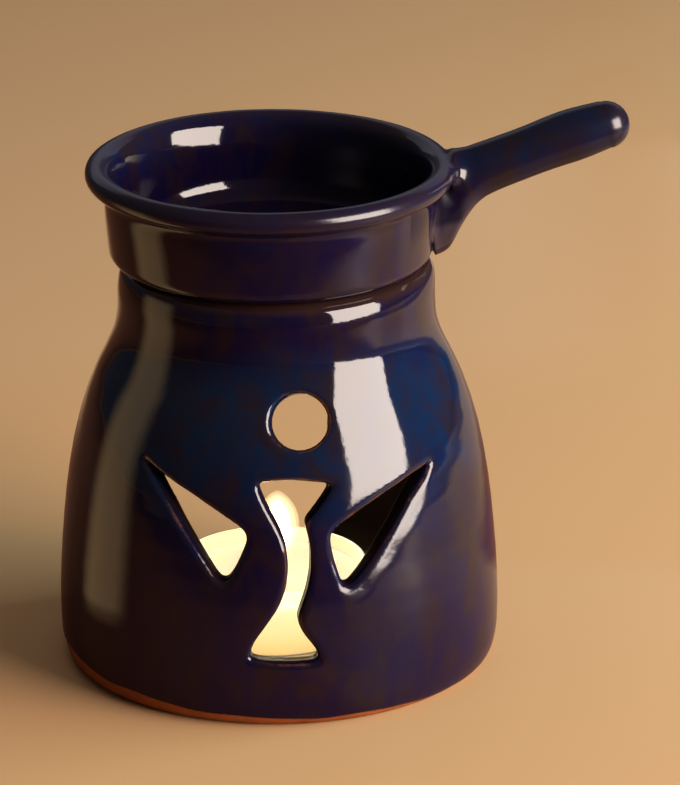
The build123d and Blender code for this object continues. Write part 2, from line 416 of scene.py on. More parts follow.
cam_data = bpy.data.cameras.new("camera")
cam = bpy.data.objects.new("camera", cam_data)
scene.collection.objects.link(cam)
cam_data.sensor_fit = "HORIZONTAL"
cam_data.sensor_width = 36.0
cam_data.lens = 5000.0 * 36.0 / 680.0
cam_data.clip_start, cam_data.clip_end = 0.05, 20.0
PITCH, PAN, ROLL = 0.3439, 0.0133, -0.0041
fwd = from_view(math.sin(PAN) * math.cos(PITCH), math.cos(PAN) * math.cos(PITCH), -math.sin(PITCH))
right = from_view(math.cos(PAN), -math.sin(PAN), 0)
up = right.cross(fwd)
r2 = right * math.cos(ROLL) + up * math.sin(ROLL)
u2 = up * math.cos(ROLL) - right * math.sin(ROLL)
rot = Matrix((r2, u2, -fwd)).transposed().to_4x4()
cam.matrix_world = Matrix.Translation(from_view(0, -0.94956, 0.39475)) @ rot
scene.camera = cam


def nodes_of(mat):
    mat.use_nodes = True
    nt = mat.node_tree
    nt.nodes.clear()
    out = nt.nodes.new("ShaderNodeOutputMaterial")
    return nt, out


def softbox(name, at, look, w, h, radiance, colour, diffuse=True, gloss=True):
    d = bpy.data.lights.new(name, "AREA")
    d.shape = "RECTANGLE"
    d.size, d.size_y = w, h
    d.energy = radiance * math.pi * w * h
    d.color = colour
    o = bpy.data.objects.new(name, d)
    scene.collection.objects.link(o)
    o.location = at
    o.rotation_euler = (Vector(look) - Vector(at)).to_track_quat("-Z", "Y").to_euler()
    o.visible_camera = False
    o.visible_diffuse = diffuse
    o.visible_glossy = gloss
    return o


def around(az, dist, z):
    """A point at az degrees to the right of the camera's own direction from the object."""
    a = math.radians(-90 + az)
    return from_view(dist * math.cos(a), dist * math.sin(a), z)


softbox("key", around(57.5, 1.25, 0.415), (0, 0, 0.06), 0.90, 0.92, 16.0, (1.0, 0.85, 0.75))
softbox("wash", around(96, 0.9, 0.17), (0, 0, 0.06), 0.6, 0.26, 40.0, (0.74, 0.97, 1.0), gloss=False)
softbox("top", (0, 0.1, 1.0), (0, 0, 0), 0.9, 0.9, 0.9, (1.0, 0.96, 0.92), gloss=False)
softbox("rear_low", from_view(0.11, 0.36, 0.034), from_view(0.11, 0, 0.034), 0.12, 0.06, 0.50, (1.0, 0.86, 0.80), diffuse=False)
softbox("rear_high", from_view(0, 0.9, 0.62), from_view(0, 0, 0.08), 1.7, 0.55, 0.30, (0.72, 0.75, 0.95), diffuse=False)

world = bpy.data.worlds.new("room")
scene.world = world
world.use_nodes = True
wn = world.node_tree
wn.nodes.clear()
wout = wn.nodes.new("ShaderNodeOutputWorld")
wbg = wn.nodes.new("ShaderNodeBackground")
wtc = wn.nodes.new("ShaderNodeTexCoord")
wsep = wn.nodes.new("ShaderNodeSeparateXYZ")
wramp = wn.nodes.new("ShaderNodeValToRGB")
wramp.color_ramp.elements[0].position = 0.0
wramp.color_ramp.elements[0].color = (0.040, 0.042, 0.060, 1)
wramp.color_ramp.elements[1].position = 0.55
wramp.color_ramp.elements[1].color = (0.085, 0.068, 0.064, 1)
wn.links.new(wtc.outputs["Generated"], wsep.inputs[0])
wn.links.new(wsep.outputs[2], wramp.inputs[0])
wn.links.new(wramp.outputs[0], wbg.inputs[0])
wbg.inputs[1].default_value = 1.0
wn.links.new(wbg.outputs[0], wout.inputs[0])

bpy.ops.mesh.primitive_plane_add(size=8.0)
floor = bpy.context.object
floor.name = "floor"
fm = bpy.data.materials.new("floor")
nt, out = nodes_of(fm)
fb = nt.nodes.new("ShaderNodeBsdfPrincipled")
fb.inputs["Base Color"].default_value = (0.54, 0.320, 0.155, 1)
fb.inputs["Roughness"].default_value = 0.45
nt.links.new(fb.outputs[0], out.inputs[0])
floor.data.materials.append(fm)


# Studio flag laid on the floor in front and to the left, in dim brown tones that are painted shade of the floor; it
# only shows as the dark part of the reflections.
co = [from_view(x, y, 0.0004) for x, y in ((-0.9, -1.6), (3.6, -1.6), (3.6, 3.0), (-0.9, 3.0))]
me = bpy.data.meshes.new("front_flag")
me.from_pydata([tuple(c) for c in co], [], [(0, 1, 2, 3)])
flag = bpy.data.objects.new("front_flag", me)
scene.collection.objects.link(flag)
fm = bpy.data.materials.new("front_flag")
nt, out = nodes_of(fm)
tc = nt.nodes.new("ShaderNodeTexCoord")
turn = nt.nodes.new("ShaderNodeMapping")
turn.inputs["Rotation"].default_value = (0, 0, -TURN)
sep = nt.nodes.new("ShaderNodeSeparateXYZ")
nt.links.new(tc.outputs["Object"], turn.inputs["Vector"])
nt.links.new(turn.outputs[0], sep.inputs[0])


def fade(sock, a, b):
    m = nt.nodes.new("ShaderNodeMapRange")
    m.interpolation_type = "SMOOTHSTEP"
    m.inputs["From Min"].default_value, m.inputs["From Max"].default_value = a, b
    nt.links.new(sock, m.inputs["Value"])
    return m.outputs["Result"]


def calc(op, a, b):
    m = nt.nodes.new("ShaderNodeMath")
    m.operation = op
    for sock, v in zip(m.inputs, (a, b)):
        if isinstance(v, bpy.types.NodeSocket):
            nt.links.new(v, sock)
        else:
            sock.default_value = v
    return m.outputs[0]


gx, gy = sep.outputs[0], sep.outputs[1]
slant = calc("ADD", gx, calc("MULTIPLY", gy, 0.8))
cover = fade(gx, 0.045, 0.010)
for patch in (calc("MULTIPLY", fade(gx, 0.125, 0.085), fade(gy, 0.030, 0.050)),
              calc("MULTIPLY", fade(slant, 0.150, 0.0), 0.77),
              calc("MULTIPLY", calc("MULTIPLY", fade(gx, 0.130, 0.200), fade(gy, 0.060, 0.0)), 0.42),
              fade(gy, -0.055, -0.185), fade(gx, 0.300, 0.420)):
    cover = calc("MAXIMUM", cover, patch)
behind = calc("MULTIPLY", calc("MULTIPLY", fade(gy, 0.120, 0.200), fade(gx, -0.160, -0.080)), fade(gx, 0.120, 0.040))
cover = calc("MULTIPLY", cover, calc("SUBTRACT", 1.0, behind))
# painted shade: the flag's colour is a dim floor tone, darker further in front and far to the right
tone = nt.nodes.new("ShaderNodeMix")
tone.data_type = "RGBA"
nt.links.new(fade(sep.outputs[1], -0.080, -0.210), tone.inputs[0])
tone.inputs[6].default_value = (0.22, 0.085, 0.043, 1)
tone.inputs[7].default_value = (0.07, 0.03, 0.03, 1)
tone2 = nt.nodes.new("ShaderNodeMix")
tone2.data_type = "RGBA"
nt.links.new(fade(sep.outputs[0], 0.280, 0.400), tone2.inputs[0])
nt.links.new(tone.outputs[2], tone2.inputs[6])
tone2.inputs[7].default_value = (0.055, 0.040, 0.045, 1)
dark = nt.nodes.new("ShaderNodeBsdfDiffuse")
nt.links.new(tone2.outputs[2], dark.inputs["Color"])
clear = nt.nodes.new("ShaderNodeBsdfTransparent")
both = nt.nodes.new("ShaderNodeMixShader")
nt.links.new(cover, both.inputs[0])
nt.links.new(clear.outputs[0], both.inputs[1])
nt.links.new(dark.outputs[0], both.inputs[2])
nt.links.new(both.outputs[0], out.inputs[0])
me.materials.append(fm)


def stage_card(name, mid, half_y, z0, z1, colour, strength):
    """Soft-edged reflector standing to the left; it only shows as a reflection."""
    co = [from_view(mid[0], mid[1] + a, z) for a, z in ((-half_y, z0), (half_y, z0), (half_y, z1), (-half_y, z1))]
    cm = bpy.data.meshes.new(name)
    cm.from_pydata([tuple(c) for c in co], [], [(0, 1, 2, 3)])
    ob = bpy.data.objects.new(name, cm)
    scene.collection.objects.link(ob)
    mat = bpy.data.materials.new(name)
    nt, out = nodes_of(mat)
    tc = nt.nodes.new("ShaderNodeTexCoord")
    turn = nt.nodes.new("ShaderNodeMapping")
    turn.inputs["Rotation"].default_value = (0, 0, -TURN)
    sep = nt.nodes.new("ShaderNodeSeparateXYZ")
    nt.links.new(tc.outputs["Object"], turn.inputs["Vector"])
    nt.links.new(turn.outputs[0], sep.inputs[0])
    em = nt.nodes.new("ShaderNodeEmission")
    em.inputs[0].default_value = colour
    last = None
    for axis, a, b in ((1, mid[1] - half_y, mid[1] - 0.35 * half_y), (1, mid[1] + half_y, mid[1] + 0.35 * half_y),
                       (2, z0, z0 + 0.007), (2, z1, z1 - 0.02)):
        f = nt.nodes.new("ShaderNodeMapRange")
        f.interpolation_type = "SMOOTHSTEP"
        f.inputs["From Min"].default_value, f.inputs["From Max"].default_value = a, b
        nt.links.new(sep.outputs[axis], f.inputs["Value"])
        m = nt.nodes.new("ShaderNodeMath")
        m.operation = "MULTIPLY"
        nt.links.new(f.outputs["Result"], m.inputs[0])
        if last is None:
            m.inputs[1].default_value = strength
        else:
            nt.links.new(last, m.inputs[1])
        last = m.outputs[0]
    nt.links.new(last, em.inputs[1])
    clear = nt.nodes.new("ShaderNodeBsdfTransparent")
    both = nt.nodes.new("ShaderNodeAddShader")
    nt.links.new(em.outputs[0], both.inputs[0])
    nt.links.new(clear.outputs[0], both.inputs[1])
    nt.links.new(both.outputs[0], out.inputs[0])
    cm.materials.append(mat)
    ob.visible_camera = ob.visible_diffuse = ob.visible_shadow = ob.visible_transmission = False


stage_card("side_card", (-0.066, -0.018), 0.019, 0.004, 0.100, (1.0, 0.66, 0.32, 1), 0.80)
flag.visible_camera = flag.visible_diffuse = flag.visible_shadow = flag.visible_transmission = False


# ---------------------------------------------------------------------------
# materials
# ---------------------------------------------------------------------------
class Tree:
    def __init__(self, name):
        self.mat = bpy.data.materials.new(name)
        self.nt, self.out = nodes_of(self.mat)
        self.coord = self.nt.nodes.new("ShaderNodeTexCoord").outputs["Object"]

    def node(self, kind, **props):
        n = self.nt.nodes.new(kind)
        for k, v in props.items():
            setattr(n, k, v)
        return n

    def put(self, sock, v):
        if isinstance(v, bpy.types.NodeSocket):
            self.nt.links.new(v, sock)
        else:
            sock.default_value = v

    def noise(self, wave_mm, detail=2.0, rough=0.5, stretch=(1, 1, 1), warp=0.0, offset=(0, 0, 0)):
        m = self.node("ShaderNodeMapping")
        self.put(m.inputs["Vector"], self.coord)
        m.inputs["Scale"].default_value = stretch
        m.inputs["Location"].default_value = offset
        n = self.node("ShaderNodeTexNoise")
        self.put(n.inputs["Vector"], m.outputs[0])
        n.inputs["Scale"].default_value = 1000.0 / wave_mm
        n.inputs["Detail"].default_value = detail
        n.inputs["Roughness"].default_value = rough
        n.inputs["Distortion"].default_value = warp
        return n.outputs["Fac"]

    def ramp(self, fac, a, b, ca=(0, 0, 0, 1), cb=(1, 1, 1, 1)):
        r = self.node("ShaderNodeValToRGB")
        r.color_ramp.elements[0].position, r.color_ramp.elements[1].position = a, b
        r.color_ramp.elements[0].color, r.color_ramp.elements[1].color = ca, cb
        self.put(r.inputs[0], fac)
        return r.outputs[0]

    def mix(self, fac, a, b):
        m = self.node("ShaderNodeMix", data_type="RGBA")
        self.put(m.inputs[0], fac)
        self.put(m.inputs[6], a)
        self.put(m.inputs[7], b)
        return m.outputs[2]

    def math(self, op, a, b=0.0, clamp=False):
        m = self.node("ShaderNodeMath", operation=op, use_clamp=clamp)
        self.put(m.inputs[0], a)
        self.put(m.inputs[1], b)
        return m.outputs[0]

    def attr(self, name):
        return self.node("ShaderNodeAttribute", attribute_name=name).outputs["Fac"]

    def bump(self, height, dist_mm, strength=1.0, normal=None):
        b = self.node("ShaderNodeBump")
        b.inputs["Strength"].default_value = strength
        b.inputs["Distance"].default_value = dist_mm * MM
        self.put(b.inputs["Height"], height)
        if normal is not None:
            self.put(b.inputs["Normal"], normal)
        return b.outputs[0]

    def shader(self, **sockets):
        p = self.node("ShaderNodeBsdfPrincipled")
        for k, v in sockets.items():
            self.put(p.inputs[k.replace("_", " ")], v)
        self.nt.links.new(p.outputs[0], self.out.inputs[0])
        return p


def glaze(name, foot):
    t = Tree(name)
    cloud = t.noise(17.0, 3.0, 0.55)
    run = t.noise(4.2, 4.0, 0.6, stretch=(1, 1, 0.22), warp=0.4)
    fleck = t.noise(1.1, 2.0, 0.5)
    edge = t.attr("edge")
    sep = t.node("ShaderNodeSeparateXYZ")
    t.put(sep.inputs[0], t.coord)
    # the glaze lies thickest, and bluest, on the shoulder and on the handle
    height = t.math("MULTIPLY", sep.outputs[2], 1000.0)
    start = 34.0 if foot else 96.0
    thick = t.math("ADD", t.math("MULTIPLY", t.math("SUBTRACT", height, start), 0.045), t.math("MULTIPLY", t.math("SUBTRACT", cloud, 0.5), 1.6))
    if foot:
        thick = t.math("SUBTRACT", thick, t.math("MULTIPLY", t.math("MAXIMUM", t.math("SUBTRACT", height, 63.0), 0.0), 0.14))
    base = t.mix(t.ramp(thick, 0.0, 1.0), (0.0030, 0.0017, 0.0145, 1), (0.0018, 0.0076, 0.027, 1))
    base = t.mix(t.math("MULTIPLY", t.ramp(run, 0.48, 0.80), 0.5), base, (0.0085, 0.0030, 0.0075, 1))
    mottle = t.noise(6.0, 4.0, 0.6, stretch=(1, 1, 0.6), warp=0.6, offset=(0.3, 0.1, 0.2))
    base = t.mix(t.math("MULTIPLY", t.ramp(mottle, 0.43, 0.66), 0.8), base, (0.0095, 0.0042, 0.0050, 1))
    brk = t.math("ADD", edge, t.math("MULTIPLY", t.math("SUBTRACT", run, 0.5), 0.12))
    thin = t.ramp(brk, *((0.125, 0.20) if foot else (0.20, 0.50)))
    if foot:
        deep = t.attr("deep")
        thin = t.math("MULTIPLY", thin, t.math("SUBTRACT", 1.0, t.math("MULTIPLY", deep, 0.85)))
    base = t.mix(thin, base, (0.155, 0.052, 0.014, 1))
    rough = t.math("ADD", t.math("MULTIPLY", cloud, 0.05), 0.04)
    rough = t.math("ADD", rough, t.math("MULTIPLY", thin, 0.28))
    shine = t.math("SUBTRACT", 0.5, t.math("MULTIPLY", thin, 0.2))
    if foot:
        base = t.mix(t.math("MULTIPLY", deep, 0.9), base, (0.013, 0.0055, 0.0029, 1))
        rough = t.math("ADD", rough, t.math("MULTIPLY", deep, 0.32))
        shine = t.math("SUBTRACT", shine, t.math("MULTIPLY", deep, 0.40), True)
        # thin and dark on the rim of the neck
        rim = t.math("DIVIDE", t.math("SUBTRACT", t.math("ADD", height, t.math("MULTIPLY", run, 1.6)), 82.0), 1.5, True)
        base = t.mix(t.math("MULTIPLY", rim, 0.85), base, (0.020, 0.0080, 0.0052, 1))
        # the glaze is dull and mottled where the wall was sponged round a cut
        rough = t.math("ADD", rough, t.math("MULTIPLY", t.attr("sponged"), t.math("MULTIPLY", mottle, 0.22)))
    else:
        worn = t.attr("worn")
        base = t.mix(t.math("MULTIPLY", t.attr("lip"), 0.45), base, (0.012, 0.0055, 0.011, 1))
        rough = t.math("ADD", rough, t.math("MULTIPLY", worn, 0.13))
        # painted shade: where the dish is dulled, its base colour is also darkened
        dull_and_shade = t.attr("dull_and_shade")
        shine = t.math("SUBTRACT", shine, t.math("MULTIPLY", dull_and_shade, 0.42), True)
        base = t.mix(t.math("MULTIPLY", dull_and_shade, 0.6), base, (0.0012, 0.0009, 0.0040, 1))
    peel = t.math("ADD", t.math("MULTIPLY", t.noise(6.5, 2.0), 1.0), t.math("MULTIPLY", fleck, 0.34))
    if foot:
        grain = t.math("MULTIPLY", t.noise(1.7, 3.0, 0.6), t.math("MULTIPLY", t.attr("sponged"), 1.1))
        peel = t.math("ADD", peel, grain)
        bare = t.attr("bare")
        line = t.math("ADD", bare, t.math("MULTIPLY", t.math("SUBTRACT", t.noise(5.0, 3.0), 0.5), 0.5))
        mask = t.ramp(line, 0.44, 0.56)
        clay_n = t.noise(7.0, 5.0, 0.65)
        grog = t.noise(0.7, 2.0, 0.6)
        clay = t.mix(t.ramp(clay_n, 0.3, 0.7), (0.21, 0.050, 0.0095, 1), (0.30, 0.080, 0.017, 1))
        clay = t.mix(t.math("MULTIPLY", t.ramp(grog, 0.60, 0.72), 0.5), clay, (0.14, 0.040, 0.012, 1))
        base = t.mix(mask, base, clay)
        rough = t.math("ADD", rough, t.math("MULTIPLY", mask, 0.78))
        shine = t.math("SUBTRACT", shine, t.math("MULTIPLY", mask, 0.35), True)
        peel = t.math("ADD", peel, t.math("MULTIPLY", t.math("MULTIPLY", grog, mask), 3.0))
    t.shader(Base_Color=base, Roughness=rough, Specular_IOR_Level=shine, IOR=1.52, Normal=t.bump(peel, 0.05, 0.55))
    return t.mat


def wax_material():
    t = Tree("wax")
    n = t.noise(6.0, 3.0)
    # painted glow: the emission stands in for the flame's light, strongest near the flame and deeper in colour towards
    # the floor
    sep = t.node("ShaderNodeSeparateXYZ")
    t.put(sep.inputs[0], t.coord)
    rise = t.math("DIVIDE", t.math("SUBTRACT", t.math("MULTIPLY", sep.outputs[2], 1000.0), 4.0), 12.0, True)
    painted_glow = t.node("ShaderNodeValToRGB")
    stops = ((0.0, (0.46, 0.25, 0.08)), (0.10, (0.88, 0.54, 0.19)), (0.27, (0.90, 0.67, 0.25)), (0.45, (0.90, 0.76, 0.35)),
             (0.68, (0.90, 0.82, 0.43)), (0.96, (0.90, 0.85, 0.58)))
    for i, (at, c) in enumerate(stops):
        e = painted_glow.color_ramp.elements[i] if i < 2 else painted_glow.color_ramp.elements.new(at)
        e.position, e.color = at, (*c, 1)
    t.put(painted_glow.inputs[0], rise)
    # the top face of the wax gets its own painted glow colour
    face = t.node("ShaderNodeSeparateXYZ")
    t.put(face.inputs[0], t.node("ShaderNodeNewGeometry").outputs["Normal"])
    painted_glow = t.mix(t.ramp(face.outputs[2], 0.35, 0.85), painted_glow.outputs[0], (0.74, 0.57, 0.37, 1))
    col = t.mix(t.ramp(n, 0.35, 0.65), (0.95, 0.87, 0.66, 1), (0.97, 0.91, 0.75, 1))
    t.shader(Base_Color=col, Roughness=t.math("ADD", t.math("MULTIPLY", n, 0.2), 0.28), IOR=1.44,
             Subsurface_Weight=1.0, Subsurface_Radius=(1.0, 0.62, 0.32), Subsurface_Scale=0.006,
             Emission_Color=painted_glow, Emission_Strength=1.0,
             Normal=t.bump(n, 0.1, 0.4))
    return t.mat


def cup_material():
    t = Tree("clear_cup")
    n = t.noise(9.0, 2.0)
    sep = t.node("ShaderNodeSeparateXYZ")
    t.put(sep.inputs[0], t.coord)
    # painted glow: the emission brightens the cup wall above 14.6 mm, standing in for the candle's light
    above = t.math("DIVIDE", t.math("SUBTRACT", t.math("MULTIPLY", sep.outputs[2], 1000.0), 14.6), 1.4, True)
    t.shader(Base_Color=(0.99, 0.97, 0.92, 1), Roughness=t.math("ADD", t.math("MULTIPLY", n, 0.10), 0.10),
             IOR=1.49, Transmission_Weight=0.90, Emission_Color=t.mix(above, (0.06, 0.048, 0.028, 1), (0.46, 0.39, 0.20, 1)), Emission_Strength=1.0,
             Normal=t.bump(n, 0.05, 0.3))
    return t.mat


def steel_material():
    t = Tree("sustainer_steel")
    n = t.noise(1.2, 3.0, stretch=(1, 6, 1))
    t.shader(Base_Color=t.mix(n, (0.52, 0.51, 0.49, 1), (0.68, 0.67, 0.65, 1)), Metallic=1.0,
             Roughness=t.math("ADD", t.math("MULTIPLY", n, 0.2), 0.25), Normal=t.bump(n, 0.02, 0.4))
    return t.mat


def wick_material():
    t = Tree("wick_cotton")
    sep = t.node("ShaderNodeSeparateXYZ")
    t.put(sep.inputs[0], t.coord)
    n = t.noise(0.5, 2.0)
    h = t.math("ADD", t.math("MULTIPLY", sep.outputs[2], 1000.0), t.math("MULTIPLY", n, 1.4))
    char = t.math("DIVIDE", t.math("SUBTRACT", h, 15.6), 2.6, True)
    col = t.mix(char, (0.70, 0.62, 0.46, 1), (0.018, 0.014, 0.012, 1))
    t.shader(Base_Color=col, Roughness=t.math("ADD", t.math("MULTIPLY", n, 0.2), 0.72), Normal=t.bump(n, 0.1, 0.6))
    return t.mat


def flame_material():
    t = Tree("flame")
    n = t.noise(5.0, 1.0)
    t.shader(Base_Color=t.mix(n, (1.0, 0.80, 0.45, 1), (1.0, 0.86, 0.55, 1)), Roughness=1.0,
             Emission_Color=(1.0, 0.82, 0.50, 1), Emission_Strength=14.0)
    return t.mat


def glow_material():
    t = Tree("flame_glow")
    f = t.noise(6.0, 1.0)
    t.shader(Base_Color=t.mix(f, (1.0, 0.72, 0.34, 1), (1.0, 0.80, 0.44, 1)), Roughness=1.0, IOR=1.0, Alpha=0.06,
             Emission_Color=(1.0, 0.86, 0.58, 1), Emission_Strength=2.4)
    return t.mat


BODY_GLAZE = glaze("body_glaze", True)
DISH_GLAZE = glaze("dish_glaze", False)

# ---------------------------------------------------------------------------
# bell
# ---------------------------------------------------------------------------
outer = spline([(FOOT_R, 0.0)] + BELL, 220)
rim_o = arc(NECK_R - 2.2, NECK_TOP - 2.2, 2.2, 0, 90, 14)
rim_i = arc(NECK_IN_R + 1.6, NECK_TOP - 1.6, 1.6, 90, 180, 12)
inner = spline([(NECK_IN_R, NECK_TOP - 1.6), (NECK_IN_R, 76.0), (NECK_IN_R + 0.25, 71.0)]
               + [(r - WALL, z - 0.6) for r, z in reversed(BELL[4:10])]
               + [(44.7 - WALL, 9.6), (44.0 - WALL, 6.6), (37.9, 4.1), (35.6, FLOOR_T)], 180)
shell = np.concatenate([[(-30, 0), (FOOT_R - 0.8, 0)], outer[1:], rim_o, rim_i, inner[1:], [(-30, FLOOR_T)]])
solid = np.concatenate([[(-30, 0), (FOOT_R - 0.8, 0)], outer[1:], rim_o, [(-30, NECK_TOP)]])
SHELL = Section(shell, 54.0, -6.0, 92.0)
SOLID = Section(solid, 54.0, -6.0, 92.0)
R0 = 40.0
CUTS = [Cut([(math.radians(a) * R0, z) for a, z in c], [(math.radians(a) * R0, z) for a, z in tips])
        for c, tips in ((WING_L, [(-45.2, 51.4)]), (WING_R, [(43.5, 49.3)]), (TORSO, []))]
LEAN = 20.0                        # the piercings point at a line this far behind the axis
lump = waves(16, 15.0, 42.0)
fine = waves(14, 6.0, 11.0)

GLAZE_T = 0.28


def glaze_line(P):
    """Height where the glaze ends above the foot."""
    a = np.arctan2(P[:, 1], P[:, 0])
    return (2.75 - 0.036 * P[:, 0] + 0.9 * step01((-34.0 - P[:, 0]) / 9.0) + 0.015 * P[:, 1] + 0.16 * np.sin(5 * a + 0.8) + 0.16 * np.sin(11 * a + 2.0)
            + 0.08 * np.sin(23 * a))


def piercings(q):
    """Distance to the nearest front piercing: to its softened outline, and to the wider zone sponged round it."""
    x, y, z = q.T
    r = np.hypot(x, y)
    near = np.full((2, len(q)), 1e3)
    phi = np.arctan2(x, -y)
    f = (np.abs(phi) < 1.15) & (z > 4) & (z < 62) & (y < -8)
    if f.any():
        deep = np.maximum(-SOLID(r[f], z[f]), 0)
        pf = phi[f]
        pf = pf - deep * LEAN * np.sin(pf) / ((42.0 + LEAN * np.cos(pf)) * np.maximum(r[f], 20))
        u, v = pf * R0, z[f]
        best = np.full((2, len(u)), 1e3)
        for c2 in CUTS:
            s = (u > c2.lo[0]) & (u < c2.lo[0] + c2.step * (c2.n[0] - 1))
            if s.any():
                best[:, s] = smin(best[:, s], np.array(c2(u[s], v[s])), np.array([[1e-6], [3.0]]))
        near[:, f] = best
    return near


def bell_sdf(P):
    d = SHELL(np.hypot(P[:, 0], P[:, 1]), P[:, 2])
    c = np.nonzero(d < 4.0)[0]
    if not len(c):
        return d
    q = P[c]
    x, y, z = q.T
    r = np.hypot(x, y)
    a = np.arctan2(y, x)
    cut, broad = piercings(q)
    hole = np.full(len(q), 1e3)
    f = (z > 46) & (z < 77) & (y < -8)
    if f.any():
        ph = math.radians(HEAD_AT[0])
        seat = np.array([36.1 * math.sin(ph), -36.1 * math.cos(ph), HEAD_AT[1]])
        az, el = math.radians(12), math.radians(21)
        ax = np.array([-math.sin(az) * math.cos(el), -math.cos(az) * math.cos(el), math.sin(el)])
        w = q[f] - seat
        t = w @ ax
        hole[f] = np.linalg.norm(w - t[:, None] * ax, axis=1) - HEAD_R
    # slightly out of true, with throwing rings, and sponged down around every cut
    soft = step01((z - 0.3) / 4.0)
    ease = 0.16 + 0.10 * np.sin(2 * a + 0.6) + 0.05 * np.sin(3 * a - 1.1 + 0.03 * z)
    m = np.abs(d[c]) < 2.6
    w = np.zeros(len(q))
    w[m] = 0.065 * lump(q[m]) + 0.006 * fine(q[m]) + 0.010 * np.sin(2 * np.pi * (z[m] / 5.2 - a[m] / (2 * np.pi)))
    sponge = np.exp(-((np.maximum(broad, 0) / 4.4) ** 2)) + 0.6 * np.exp(-((np.maximum(hole, 0) / 3.4) ** 2))
    deg = np.degrees(np.arctan2(x, -y))
    low = step01((34.0 + (deg - 12.0) * 0.486 - z) / 2.0) * step01((deg - 13.0) / 6.0) * step01((43.0 - deg) / 6.0)
    wipe = np.zeros(len(q))
    m &= (low > 0) & (broad < 8)
    if m.any():
        g = 3.4 + 1.1 * fine(q[m]) - np.maximum(broad[m], 0)
        wipe[m] = 0.05 * (g + np.sqrt(g * g + 0.5)) * low[m]
    ease = (ease - w + 0.13 * np.minimum(sponge, 1) + wipe) * soft
    ease = ease + np.where(r > 29.2, 0.036 * np.maximum(z - 78.2 - 0.9 * np.sin(a + 0.9), 0) ** 2, 0)
    # bare clay below the glaze line stands in by the thickness of the glaze
    ease = ease + GLAZE_T * step01((glaze_line(q) - z) / 0.5 + 0.5) * step01((z + 0.2) / 0.6)
    dc = SHELL(r + np.where(r > 20, ease, 0), z)
    dc = smax(smax(dc, -cut, 1.4), -hole, 1.3)
    # candle opening
    sx, sy = math.cos(ARCH_TURN), math.sin(ARCH_TURN)
    s = (x - TEA_X) * sx + y * sy
    t = -(x - TEA_X) * sy + y * sx
    b = t > 8
    if b.any():
        zz = z[b]
        qx, qz = np.abs(s[b]) - ARCH_HALF + ARCH_CORNER, zz - ARCH_TOP + ARCH_CORNER
        arch = np.where((qx > 0) & (qz > 0), np.hypot(qx, qz), np.maximum(qx, qz)) - ARCH_CORNER
        arch = np.maximum(arch, 1.0 - zz)
        arch = np.maximum(arch, 14 - t[b])
        slab = smax(SOLID(r[b] + ease[b], zz), zz - FLOOR_T, 1.4)
        dc[b] = np.minimum(smax(dc[b], -arch, 1.8), slab)
    d[c] = dc
    return d


V, Q = surface(bell_sdf, (-46.2, -46.2, -1.6), (46.2, 46.2, 85.4), 0.55)
bell = to_object("burner_bell", V, Q)
store(bell, "edge", np.clip(roundness(bell_sdf, V, 0.8), -0.2, 1.0))
rr = np.hypot(V[:, 0], V[:, 1])
under = step01((1.0 - V[:, 2]) / 0.8) * (rr < 42.6)
store(bell, "bare", np.maximum(np.where(rr > 41.0, step01((glaze_line(V) - V[:, 2]) / 1.2 + 0.5), 0), under))
store(bell, "deep", step01((-SOLID(rr, V[:, 2]) - 0.8) / 2.6))
deg = np.degrees(np.arctan2(V[:, 0], -V[:, 1]))
low = step01((34.0 + (deg - 12.0) * 0.486 - V[:, 2]) / 2.0) * step01((deg - 8.0) / 6.0) * step01((46.0 - deg) / 6.0)
store(bell, "sponged", np.exp(-((np.maximum(piercings(V)[1], 0) / 4.0) ** 4)) * (0.3 + 0.7 * low))
bell.data.materials.append(BODY_GLAZE)
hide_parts("burner_body")
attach(bell, "base")

# ---------------------------------------------------------------------------
# oil dish and its handle
# ---------------------------------------------------------------------------
z0 = DISH_Z
w0 = math.radians(-62)
lip_lo = (LIP_R + LIP_ROLL * math.cos(w0), LIP_Z + LIP_ROLL * math.sin(w0))
v0 = math.radians(112)
lip_in = (LIP_R + LIP_ROLL * math.cos(v0), LIP_Z + LIP_ROLL * math.sin(v0))
d_out = spline([(DISH_WALL_R, z0 + 2.6), (DISH_WALL_R + 0.45, 91.5), (DISH_WALL_R + 0.7, 95.8),
                (DISH_WALL_R + 1.1, 98.2), lip_lo], 80)
d_in = spline([lip_in, (32.4, 102.6), (31.5, 101.1), (30.8, 98.9), (30.2, 95.5), (29.6, 91.5), (28.3, 88.4),
               (25.8, 86.75), (22.5, DISH_FLOOR_Z)], 90)
dish_pts = np.concatenate([
    [(-30, z0 - 2.0), (24.8, z0 - 2.0), (25.6, z0 - 1.2), (25.6, z0)],
    arc(DISH_WALL_R - 2.6, z0 + 2.6, 2.6, -90, 0, 14), d_out[1:],
    arc(LIP_R, LIP_Z, LIP_ROLL, -62, 112, 28)[1:], d_in[1:], [(-30, DISH_FLOOR_Z)]])
DISH = Section(dish_pts, 44.0, 76.0, 110.0, 0.15)
HANDLE = np.array([
    (28.0, 92.0, 7.2, 5.5), (31.1, 92.4, 7.9, 5.5), (33.7, 93.15, 9.15, 5.5), (35.9, 94.3, 9.3, 5.45),
    (37.6, 96.28, 8.22, 5.35), (39.4, 98.18, 6.98, 5.3), (41.7, 100.05, 5.95, 5.25), (45.5, 101.85, 5.45, 5.2),
    (51.5, 104.08, 5.38, 5.2), (57.5, 106.3, 5.5, 5.25), (63.0, 107.9, 5.35, 5.15), (67.1, 109.15, 5.0, 4.75),
    (72.0, 110.8, 4.7, 4.45),
])
hx = np.linspace(28, 72, 400)
hv = np.stack([spline(HANDLE[:, [0, k]], 400)[:, 1] for k in (1, 2, 3)])
hv = np.stack([np.interp(hx, spline(HANDLE[:, [0, k]], 400)[:, 0], hv[k - 1]) for k in (1, 2, 3)])
dish_lump = waves(14, 9.0, 30.0)
TILT = math.radians(18.5)


